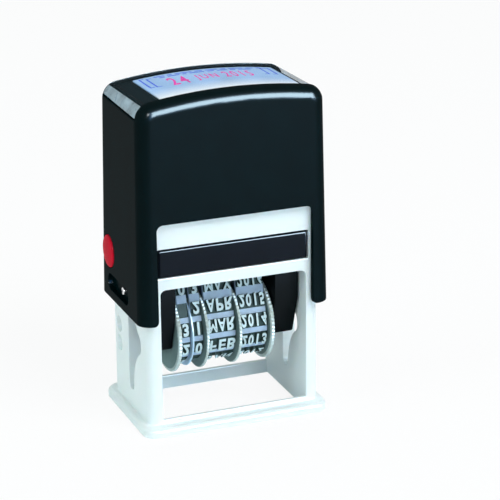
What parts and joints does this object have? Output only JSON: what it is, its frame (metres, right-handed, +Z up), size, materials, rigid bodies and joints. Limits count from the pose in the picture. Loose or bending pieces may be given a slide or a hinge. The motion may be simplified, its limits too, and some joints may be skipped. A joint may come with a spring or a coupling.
{
  "type": "self-inking date stamp",
  "caption": "Self-inking date stamp: sprung outer cap, open frame, flipping dater with turning date bands and a slide-out ink pad.",
  "frame": {"origin": "bottom centre of the foot", "axes": "+Z up, +X to the right along the printed line, -Y to the front with the pad strip"},
  "size_m": [0.058, 0.0378, 0.0977],
  "materials": {
    "white_plastic": "satin moulded",
    "black_plastic": "satin to gloss moulded",
    "clear_plastic": "clear polished",
    "card": "printed paper",
    "pin_steel": "turned",
    "spring_steel": "drawn wire",
    "red_plastic": "gloss moulded",
    "pad_plastic": "gloss moulded",
    "blue_felt": "inked felt",
    "red_felt": "inked felt",
    "dater_plastic": "satin moulded",
    "die_rubber": "laser engraved rubber",
    "band_rubber": "moulded rubber",
    "wheel_plastic": "satin moulded",
    "divider_plastic": "satin moulded"
  },
  "bodies": {
    "frame": {"base_frame": "white_plastic", "return_spring": "spring_steel"},
    "cap": {"cap_shell": "black_plastic", "window_lens": "clear_plastic", "index_card": "card", "left_pivot_pin": "pin_steel", "right_pivot_pin": "pin_steel"},
    "ink_pad": {"ink_pad_tray": "pad_plastic", "front_felt": "blue_felt", "middle_felt": "red_felt", "rear_felt": "blue_felt"},
    "left_button": {"left_lock_button": "red_plastic"},
    "right_button": {"right_lock_button": "red_plastic"},
    "dater": {"die_holder": "dater_plastic", "die_plate": "dater_plastic", "front_text_die": "die_rubber", "rear_text_die": "die_rubber", "band_platen": "dater_plastic", "wheel_axle": "pin_steel", "day_divider": "divider_plastic", "day_tens_band": "band_rubber", "day_units_band": "band_rubber", "month_band": "band_rubber", "year_band": "band_rubber"},
    "day_tens_dial": {"day_tens_wheel": "wheel_plastic"},
    "day_units_dial": {"day_units_wheel": "wheel_plastic"},
    "month_dial": {"month_wheel": "wheel_plastic"},
    "year_dial": {"year_wheel": "wheel_plastic"}
  },
  "joints": [
    {"name": "cap_slide", "type": "slide", "parent": "frame", "child": "cap", "axis": [0, 0, -1], "range_m": [0, 0.028], "stiffness_N_per_m": 450, "springref_m": -0.008, "deforming": ["return_spring"]},
    {"name": "dater_flip", "type": "hinge", "parent": "cap", "child": "dater", "pos_m": [0, 0, 0.038], "axis": [-1, 0, 0], "range_deg": [0, 180]},
    {"name": "pad_slide", "type": "slide", "parent": "frame", "child": "ink_pad", "axis": [0, 1, 0], "range_m": [-0.04, 0]},
    {"name": "left_button_press", "type": "slide", "parent": "cap", "child": "left_button", "axis": [1, 0, 0], "range_m": [0, 0.0015], "stiffness_N_per_m": 200, "springref_m": -0.001},
    {"name": "right_button_press", "type": "slide", "parent": "cap", "child": "right_button", "axis": [-1, 0, 0], "range_m": [0, 0.0015], "stiffness_N_per_m": 200, "springref_m": -0.001},
    {"name": "day_tens_turn", "type": "hinge", "parent": "dater", "child": "day_tens_dial", "pos_m": [0, 0, 0.0245], "axis": [1, 0, 0], "continuous": true},
    {"name": "day_units_turn", "type": "hinge", "parent": "dater", "child": "day_units_dial", "pos_m": [0, 0, 0.0245], "axis": [1, 0, 0], "continuous": true},
    {"name": "month_turn", "type": "hinge", "parent": "dater", "child": "month_dial", "pos_m": [0, 0, 0.0245], "axis": [1, 0, 0], "continuous": true},
    {"name": "year_turn", "type": "hinge", "parent": "dater", "child": "year_dial", "pos_m": [0, 0, 0.0245], "axis": [1, 0, 0], "continuous": true}
  ],
  "couplings": [
    {"joint": "dater_flip", "follows": "cap_slide", "rad_per_m": 112.2}
  ]
}
